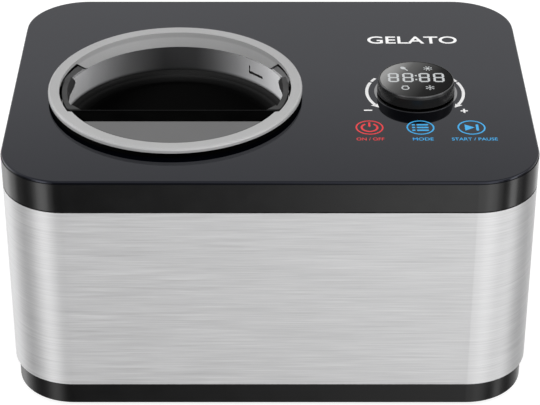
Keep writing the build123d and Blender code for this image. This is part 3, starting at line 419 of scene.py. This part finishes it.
def dress_frame():
    """Gives every CAD node its material."""
    steel = brushed_steel()
    rim = gloss_band()
    # The last number, 1.25, is painted light that brightens the ring's skirt from just over the panel down.
    silver = satin_silver("ring_satin_silver", (0.49, 0.49, 0.492), 0.42, 0.25, 1.25)
    deck = satin_silver("deck_satin_grey", (0.160, 0.160, 0.162), 0.45, 0.3)
    dish = dish_black()
    grip = grip_black()
    base = moulded("base_black", (0.0022, 0.0022, 0.0023), 0.24, 0.000004, 2400.0, 0.25, 0.32)
    knob = moulded("knob_satin_black", (0.0045, 0.0045, 0.0045), 0.26, 0.000004, 2600.0, 0.25, 0.35)
    chrome = metal("washer_polished", (0.33, 0.33, 0.335), 0.08, (1, 1, 1), 300.0, 0.05, 0.0)
    edge = metal("turned_edge_black", (0.11, 0.11, 0.112), 0.22, (1, 1, 1), 900.0, 0.1, 0.000001)
    rubber = moulded("rubber_black", (0.012, 0.012, 0.012), 0.7, 0.00005, 1800.0)
    silicone = moulded("silicone_grey", (0.42, 0.42, 0.43), 0.45, 0.00001, 1200.0, 0.08)
    bowl = metal("bowl_anodised", (0.40, 0.41, 0.42), 0.34, (1, 1, 6), 160.0, 0.07, 0.00001)
    barrel = metal("aluminium_plain", (0.72, 0.73, 0.74), 0.30, (1, 1, 6), 160.0, 0.07, 0.00001)
    fins = metal("aluminium_fins", (0.70, 0.71, 0.72), 0.42, (1, 1, 1), 220.0, 0.15, 0.00003)
    paddle = moulded("paddle_natural", (0.72, 0.73, 0.71), 0.4, 0.000008, 1500.0, 0.05)
    copper = metal("copper_tube", (0.78, 0.36, 0.20), 0.32, (1, 1, 1), 90.0, 0.22, 0.00002)
    pot = moulded("pot_black_enamel", (0.012, 0.012, 0.012), 0.28, 0.00006, 260.0)
    acetal = moulded("gear_acetal", (0.74, 0.72, 0.64), 0.38, 0.00001, 1400.0, 0.05)
    zinc = metal("zinc_plate", (0.56, 0.56, 0.58), 0.33, (1, 1, 1), 500.0, 0.12, 0.00001)
    bronze = metal("sintered_bronze", (0.58, 0.38, 0.16), 0.5, (1, 1, 1), 2200.0, 0.2, 0.00004)
    can = metal("motor_plate", (0.36, 0.37, 0.38), 0.38, (1, 1, 4), 260.0, 0.1, 0.00001)
    case_grey = moulded("housing_grey", (0.12, 0.12, 0.125), 0.5, 0.00003, 1500.0)
    green = circuit_board()
    looks = {
        steel: ["steel_wrap"],
        rim: ["top_rim_frame", "bowl_well_collar"],
        gloss_panel(): ["top_glass_panel"],
        silver: ["lid_ring"],
        deck: ["lid_deck"],
        dish: ["lid_dish"],
        grip: ["lid_handle"],
        base: ["base_tray", "rear_vent_panel", "power_inlet", "fan_shroud", "display_housing"],
        knob: ["knob_ring", "encoder_ring"],
        chrome: ["knob_base_ring"],
        edge: ["knob_trim_ring"],
        lens_smoke(): ["display_lens"],
        rubber: ["rubber_feet", "compressor_grommets"],
        silicone: ["lid_gasket", "shaft_seal"],
        bowl: ["ice_bowl"],
        barrel: ["evaporator_barrel"],
        fins: ["condenser_fins"],
        paddle: ["mixing_paddle"],
        copper: ["evaporator_coil", "condenser_coil", "filter_dryer", "suction_line", "discharge_line",
                 "liquid_line", "capillary_tube"],
        pot: ["compressor_shell"],
        acetal: ["output_gear", "idler_gear", "motor_pinion"],
        zinc: ["drive_shaft", "gearbox_screws", "idler_axle", "compressor_bolts", "base_screws",
               "board_screws", "touch_key_springs", "handle_pins"],
        bronze: ["shaft_bush"],
        can: ["agitator_motor", "fan_motor"],
        case_grey: ["gearbox_housing", "gearbox_cover", "relay_cover", "fan_blades", "power_board_stand",
                    "capacitor_clip", "run_capacitor"],
        green: ["control_board", "power_board"],
        foam(): ["insulation_jacket"],
    }
    for material, names in looks.items():
        for name in names:
            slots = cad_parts[name].data.materials
            slots.clear()
            slots.append(material)


# ---- thin printed pieces ------------------------------------------------------------------------
INK = 0.06 * MM  # thickness of printed marks
FIGURE_INK = 0.04 * MM  # thickness of the display's marks


def polar(centre, radius, angle):
    """Point at a radius and an angle in degrees."""
    return centre[0] + radius * cos(radians(angle)), centre[1] + radius * sin(radians(angle))


class Print:
    """Collects closed thin prisms and turns them into one piece."""

    def __init__(self, name, base_z, thickness=INK):
        self.name = name
        self.z = base_z
        self.thick = thickness
        self.mesh = bmesh.new()

    def prism(self, points):
        """Closed prism on a convex or simple outline of (x, y) in metres."""
        low = [self.mesh.verts.new((x, y, self.z)) for x, y in points]
        high = [self.mesh.verts.new((x, y, self.z + self.thick)) for x, y in points]
        self.mesh.faces.new(low[::-1])
        self.mesh.faces.new(high)
        for k, corner in enumerate(low):
            after = (k + 1) % len(low)
            self.mesh.faces.new((corner, low[after], high[after], high[k]))

    def strip(self, outer, inner, closed=False):
        """Closed solid band between two equally long outlines."""
        rows = []
        for (xo, yo), (xi, yi) in zip(outer, inner):
            rows.append([
                self.mesh.verts.new((xo, yo, self.z)), self.mesh.verts.new((xo, yo, self.z + self.thick)),
                self.mesh.verts.new((xi, yi, self.z + self.thick)), self.mesh.verts.new((xi, yi, self.z)),
            ])
        count = len(rows)
        for k in range(count if closed else count - 1):
            here, after = rows[k], rows[(k + 1) % count]
            for side in range(4):
                next_side = (side + 1) % 4
                self.mesh.faces.new((here[side], here[next_side], after[next_side], after[side]))
        if not closed:
            self.mesh.faces.new(rows[0][::-1])
            self.mesh.faces.new(rows[-1])

    def arc(self, centre, radius, width, start, end, steps=48):
        """Band along a circle from start to end, in degrees; a full turn closes on itself."""
        full = abs(abs(end - start) - 360) < 1e-6
        count = steps if full else steps + 1
        angles = [start + (end - start) * k / steps for k in range(count)]
        outer = [polar(centre, radius + width / 2, angle) for angle in angles]
        inner = [polar(centre, radius - width / 2, angle) for angle in angles]
        self.strip(outer, inner, full)

    def bar(self, centre, length, width, angle=0.0, round_end=0.3):
        """Straight stroke with slightly rounded corners."""
        half_l, half_w = length / 2, width / 2
        cut = min(half_l, half_w) * round_end
        raw = [
            (half_l - cut, -half_w), (half_l, -half_w + cut), (half_l, half_w - cut), (half_l - cut, half_w),
            (-half_l + cut, half_w), (-half_l, half_w - cut),
            (-half_l, -half_w + cut), (-half_l + cut, -half_w),
        ]
        c, s = cos(radians(angle)), sin(radians(angle))
        self.prism([(centre[0] + x * c - y * s, centre[1] + x * s + y * c) for x, y in raw])

    def disc(self, centre, radius, steps):
        """Round dot, as a prism with steps sides."""
        self.prism([polar(centre, radius, 360 * k / steps) for k in range(steps)])

    def done(self, material, body):
        """Makes the piece; it rides on body and takes its finish from material."""
        mesh = bpy.data.meshes.new(self.name)
        bmesh.ops.recalc_face_normals(self.mesh, faces=self.mesh.faces)
        self.mesh.to_mesh(mesh)
        self.mesh.free()
        mesh.materials.append(material)
        piece = bpy.data.objects.new(self.name, mesh)
        bpy.context.collection.objects.link(piece)
        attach(piece, body)
        return piece


def lettering(name, words, centre, width, height, material, weight):
    """Plain generic word, scaled to a width and capital height, as a thin solid mesh."""
    curve = bpy.data.curves.new(name, "FONT")
    curve.body = words
    curve.extrude = 0.5
    curve.offset = weight
    curve.resolution_u = 6
    draft = bpy.data.objects.new(name + "_draft", curve)
    bpy.context.collection.objects.link(draft)
    bpy.context.view_layer.update()
    mesh = bpy.data.meshes.new_from_object(draft)
    bpy.data.objects.remove(draft)
    xs = [v.co.x for v in mesh.vertices]
    ys = [v.co.y for v in mesh.vertices]
    wide, tall = max(xs) - min(xs), max(ys) - min(ys)
    mid = ((max(xs) + min(xs)) / 2, (max(ys) + min(ys)) / 2)
    for v in mesh.vertices:
        x = centre[0] + (v.co.x - mid[0]) * width / wide
        y = centre[1] + (v.co.y - mid[1]) * height / tall
        v.co = (x, y, PANEL_Z + (INK if v.co.z > 0 else 0.0))
    mesh.materials.clear()
    mesh.materials.append(material)
    solid = bmesh.new()
    solid.from_mesh(mesh)
    bmesh.ops.remove_doubles(solid, verts=solid.verts, dist=1e-6)
    solid.to_mesh(mesh)
    solid.free()
    piece = bpy.data.objects.new(name, mesh)
    bpy.context.collection.objects.link(piece)
    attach(piece, HOUSING)
    return piece


KEY_X = [KNOB.x + dx * MM for dx in (-36.7, 0.3, 37.4)]
KEY_Y = KNOB.y - 52.8 * MM
LABEL_Y = KNOB.y - 69.4 * MM


def print_turn_arrows(white):
    """Two arcs with arrowheads round the control ring, and the minus and plus beside them."""
    marks = Print("print_turn_arrows", PANEL_Z)
    centre = (KNOB.x - 0.5 * MM, KNOB.y)
    radius, width = 36.1 * MM, 2.3 * MM
    for side in (-1, 1):
        def at(angle):
            return angle if side > 0 else 180 - angle
        marks.arc(centre, radius, width, at(25.0), at(-33.0))
        marks.arc(centre, radius, width * 0.95, at(37.0), at(27.6), 8)
        head = [(radius - 2.3 * MM, -31.5), (radius + 3.1 * MM, -30.5), (radius + 0.2 * MM, -39.5)]
        marks.prism([polar(centre, reach, at(angle)) for reach, angle in head])
    minus = (KNOB.x - 36.7 * MM, KNOB.y - 27.3 * MM)
    plus = (KNOB.x + 34.1 * MM, KNOB.y - 28.2 * MM)
    marks.bar(minus, 6.2 * MM, 1.6 * MM)
    marks.bar(plus, 5.4 * MM, 1.4 * MM)
    for dy in (-1, 1):
        marks.bar((plus[0], plus[1] + dy * 1.8 * MM), 1.4 * MM, 2.2 * MM)
    marks.done(white, HOUSING)


def print_keys(red, blue):
    """Three ringed touch-key symbols: power, list, and play with a bar."""
    ring_r, ring_w = 9.6 * MM, 1.1 * MM
    power = Print("print_key_power", PANEL_Z)
    spot = (KEY_X[0], KEY_Y)
    power.arc(spot, ring_r, ring_w, 0, 360)
    power.arc(spot, 5.7 * MM, 1.5 * MM, 122, 418)
    power.bar((spot[0], spot[1] + 4.2 * MM), 1.5 * MM, 6.4 * MM)
    power.done(red, HOUSING)

    menu = Print("print_key_list", PANEL_Z)
    spot = (KEY_X[1], KEY_Y)
    menu.arc(spot, ring_r, ring_w, 0, 360)
    for row in (-1, 0, 1):
        y = spot[1] + row * 4.0 * MM
        menu.bar((spot[0] + 1.6 * MM, y), 8.4 * MM, 1.9 * MM)
        menu.bar((spot[0] - 5.0 * MM, y), 2.2 * MM, 1.9 * MM)
    menu.done(blue, HOUSING)

    start = Print("print_key_start", PANEL_Z)
    spot = (KEY_X[2], KEY_Y)
    start.arc(spot, ring_r, ring_w, 0, 360)
    tall = 4.4 * MM
    rear_x, tip_x = spot[0] - 4.8 * MM, spot[0] + 2.2 * MM
    start.prism([(rear_x, spot[1] - tall), (tip_x, spot[1]), (rear_x, spot[1] + tall)])
    start.bar((spot[0] + 4.2 * MM, spot[1]), 1.9 * MM, 2 * tall)
    start.done(blue, HOUSING)


def print_words(white, red, blue):
    """Generic words only, in a plain face."""
    top = (KNOB.x + 2.2 * MM, KNOB.y + 84.5 * MM)
    lettering("print_word_top", "GELATO", top, 70.0 * MM, 12.0 * MM, white, 0.012)
    labels = (
        ("power", "ON / OFF", KEY_X[0], 20.0, red),
        ("mode", "MODE", KEY_X[1] + 1.0 * MM, 15.0, blue),
        ("start", "START / PAUSE", KEY_X[2] + 1.0 * MM, 33.0, blue),
    )
    for name, words, x, width, ink in labels:
        lettering("print_word_" + name, words, (x, LABEL_Y), width * MM, 4.0 * MM, ink, 0.004)


def seven_segments(marks, centre, width, height, stroke):
    """All seven strokes of one lit figure."""
    half_w, half_h = (width - stroke) / 2, (height - stroke) / 2
    gap = stroke * 0.12
    for dy in (-half_h, 0.0, half_h):
        marks.bar((centre[0], centre[1] + dy), 2 * half_w - stroke * 0.2, stroke * 0.92, 0.0, 0.8)
    for dx in (-half_w, half_w):
        for dy in (-half_h / 2, half_h / 2):
            marks.bar((centre[0] + dx, centre[1] + dy), half_h - gap * 2, stroke, 90.0, 0.8)


def light_display(glow):
    """Four figures, a colon and four small signs under the display window's face."""
    marks = Print("display_figures", LENS_Z, FIGURE_INK)
    middle_y = KNOB.y + 2.1 * MM
    for dx in (-16.9, -6.1, 6.1, 16.9):
        seven_segments(marks, (KNOB.x + dx * MM, middle_y), 8.2 * MM, 14.0 * MM, 1.75 * MM)
    for dy in (-3.0, 3.0):
        marks.bar((KNOB.x, middle_y + dy * MM), 1.5 * MM, 1.8 * MM)
    marks.done(glow, HOUSING)

    signs = Print("display_signs", LENS_Z, FIGURE_INK)
    bar_x, bar_y = KNOB.x - 8.4 * MM, KNOB.y + 16.6 * MM
    signs.bar((bar_x - 0.6 * MM, bar_y + 0.5 * MM), 3.4 * MM, 4.6 * MM, 40.0, 0.7)
    signs.bar((bar_x + 1.8 * MM, bar_y - 2.4 * MM), 1.0 * MM, 3.0 * MM, 40.0)
    sun = (KNOB.x + 9.6 * MM, KNOB.y + 16.4 * MM)
    signs.disc(sun, 1.3 * MM, 16)
    for k in range(8):
        turn = 22.5 + 45 * k
        signs.bar(polar(sun, 2.6 * MM, turn), 1.7 * MM, 0.7 * MM, turn)
    tub_x, tub_y = KNOB.x - 8.8 * MM, KNOB.y - 13.2 * MM
    signs.bar((tub_x, tub_y + 2.2 * MM), 4.2 * MM, 1.1 * MM)
    signs.arc((tub_x, tub_y - 0.6 * MM), 2.5 * MM, 1.0 * MM, 125, 415, 28)
    flake = (KNOB.x + 9.4 * MM, KNOB.y - 13.4 * MM)
    signs.disc(flake, 0.7 * MM, 12)
    for k in range(6):
        turn = 60 * k + 30
        signs.bar(polar(flake, 2.2 * MM, turn), 2.6 * MM, 0.6 * MM, turn)
        signs.bar(polar(flake, 2.9 * MM, turn), 0.5 * MM, 1.7 * MM, turn)
    signs.done(glow, HOUSING)


def make_prints():
    """All marks on the panel and in the display."""
    # The inks' glow is painted light; the display's glow is the light of its lit figures.
    white = printed("ink_white", (0.92, 0.92, 0.92), 0.15)
    red = printed("ink_red", (0.80, 0.04, 0.05), 0.12)
    blue = printed("ink_blue", (0.05, 0.42, 0.82), 0.12)
    glow = printed("display_glow", (0.56, 0.58, 0.59), 0.10)
    print_turn_arrows(white)
    print_keys(red, blue)
    print_words(white, red, blue)
    light_display(glow)


# ---- floor and light ----------------------------------------------------------------------------
def make_floor():
    """Plain pale floor; its own light keeps it white right up to the case."""
    bpy.ops.mesh.primitive_plane_add(size=24.0)
    floor = bpy.context.object
    floor.name = "floor"
    look = Look("floor_white", roughness=0.9, specular=0.1)
    look.colour(look.blend(look.span(look.noise(scale=3.0), 0, 1), grey(0.30), grey(0.32)))
    look.glow((1, 1, 1), 0.84)
    floor.data.materials.append(look.material)
    floor.visible_glossy = False


# brightness of the studio by bearing: degrees from the front, positive to the right
LOW_STUDIO = (
    (-180, 0.36), (-150, 0.36), (-126, 0.74), (-108, 0.50), (-90, 0.13), (-74, 0.08), (-64, 0.14),
    (-56, 0.40), (-50, 0.82), (-43, 1.00), (-36, 0.90), (-28, 0.34), (-19, 0.08), (-8, 0.06), (-3, 0.11),
    (0, 0.20), (3, 0.39), (6, 0.54), (15, 0.60), (28, 0.80), (38, 0.66), (46, 0.34), (55, 0.12), (62, 0.26),
    (69, 1.00), (76, 0.85), (84, 0.20), (98, 0.08), (120, 0.26), (150, 0.46), (180, 0.36),
)
HIGH_STUDIO = (
    (-180, 0.33), (-135, 0.36), (-122, 0.80), (-100, 0.85), (-86, 0.50), (-66, 0.42), (-40, 0.40),
    (-15, 0.42), (15, 0.60), (50, 0.72), (68, 0.60), (76, 0.90), (86, 0.90), (96, 0.46), (130, 0.34),
    (180, 0.33),
)
STUDIO_GAIN = 2.6
SWEEP_FADE = 0.51  # the sweep behind darkens upwards by this factor, over a narrow belt
GROUND_FADE = 0.60  # and the ground steeply below darkens by this one


def make_world():
    """Soft studio all round: two tall light boxes low at the sides, an even white sweep behind and above."""
    world = bpy.data.worlds.new("studio")
    bpy.context.scene.world = world
    world.use_nodes = True
    sky = Nodes(world.node_tree)
    sky.tree.nodes.clear()
    coords = sky.node("ShaderNodeTexCoord")
    split = sky.node("ShaderNodeSeparateXYZ")
    sky.link(coords.outputs["Generated"], split.inputs["Vector"])
    right, back, up = (split.outputs[name] for name in "XYZ")
    bearing = sky.combine("ARCTAN2", right, sky.combine("MULTIPLY", back, -1.0))
    around = sky.span(bearing, 0.0, 1.0, -pi, pi)
    low, high = (
        sky.ramp(around, [((degrees + 180) / 360, value) for degrees, value in studio], "EASE")
        for studio in (LOW_STUDIO, HIGH_STUDIO)
    )
    colour = sky.mix(sky.span(up, 0.0, 1.0, -0.25, 0.25, "SMOOTHSTEP"), low, high)
    above = sky.span(up, STUDIO_GAIN, STUDIO_GAIN * SWEEP_FADE, 0.475, 0.58)
    below = sky.span(up, GROUND_FADE, 1.0, -0.66, -0.46)
    studio = sky.node("ShaderNodeBackground")
    sky.link(colour, studio.inputs["Color"])
    sky.link(sky.combine("MULTIPLY", above, below), studio.inputs["Strength"])
    plain = sky.node("ShaderNodeBackground")
    plain.inputs["Color"].default_value = (1, 1, 1, 1)
    seen = sky.node("ShaderNodeLightPath")
    either = sky.node("ShaderNodeMixShader")
    sky.link(seen.outputs["Is Camera Ray"], either.inputs["Fac"])
    sky.link(studio.outputs[0], either.inputs[1])
    sky.link(plain.outputs[0], either.inputs[2])
    output = sky.node("ShaderNodeOutputWorld")
    sky.link(either.outputs[0], output.inputs["Surface"])


def soft_light(name, place, aim, size, power, only=()):
    """Soft rectangular light that isn't mirrored; it reaches only the named nodes if any are given."""
    data = bpy.data.lights.new(name, "AREA")
    data.shape = "RECTANGLE"
    data.size, data.size_y = size
    data.energy = power
    light = bpy.data.objects.new(name, data)
    bpy.context.collection.objects.link(light)
    light.location = place
    light.rotation_euler = (Vector(aim) - Vector(place)).to_track_quat("-Z", "Y").to_euler()
    light.visible_glossy = False
    if only:
        lit = bpy.data.collections.new(name + "_lit")
        for node in only:
            lit.objects.link(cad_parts[node])
        light.light_linking.receiver_collection = lit


def make_lights():
    """Two weak lights from in front, and one from each side for the far wall of the lid's dish."""
    soft_light("key_soft", (-0.9, -1.2, 1.6), (0, 0, 0.1), (1.2, 1.2), 5.0)
    soft_light("fill_right", (1.3, -0.9, 1.0), (0, 0, 0.1), (1.0, 1.0), 3.0)
    dish = (LID.x, LID.y, DISH_LOW.z + 20 * MM)
    for wall, aside, power in (("left", 0.55, 26.0), ("right", -0.55, 52.0)):
        place = (LID.x + aside, LID.y - 0.10, 0.62)
        soft_light("dish_" + wall + "_wall", place, dish, (0.25, 0.25), power, ("lid_dish",))


# ---- make it ------------------------------------------------------------------------------------
bpy.context.scene.view_settings.view_transform = "Standard"
make_camera()
dress_frame()
make_prints()
make_floor()
make_world()
make_lights()
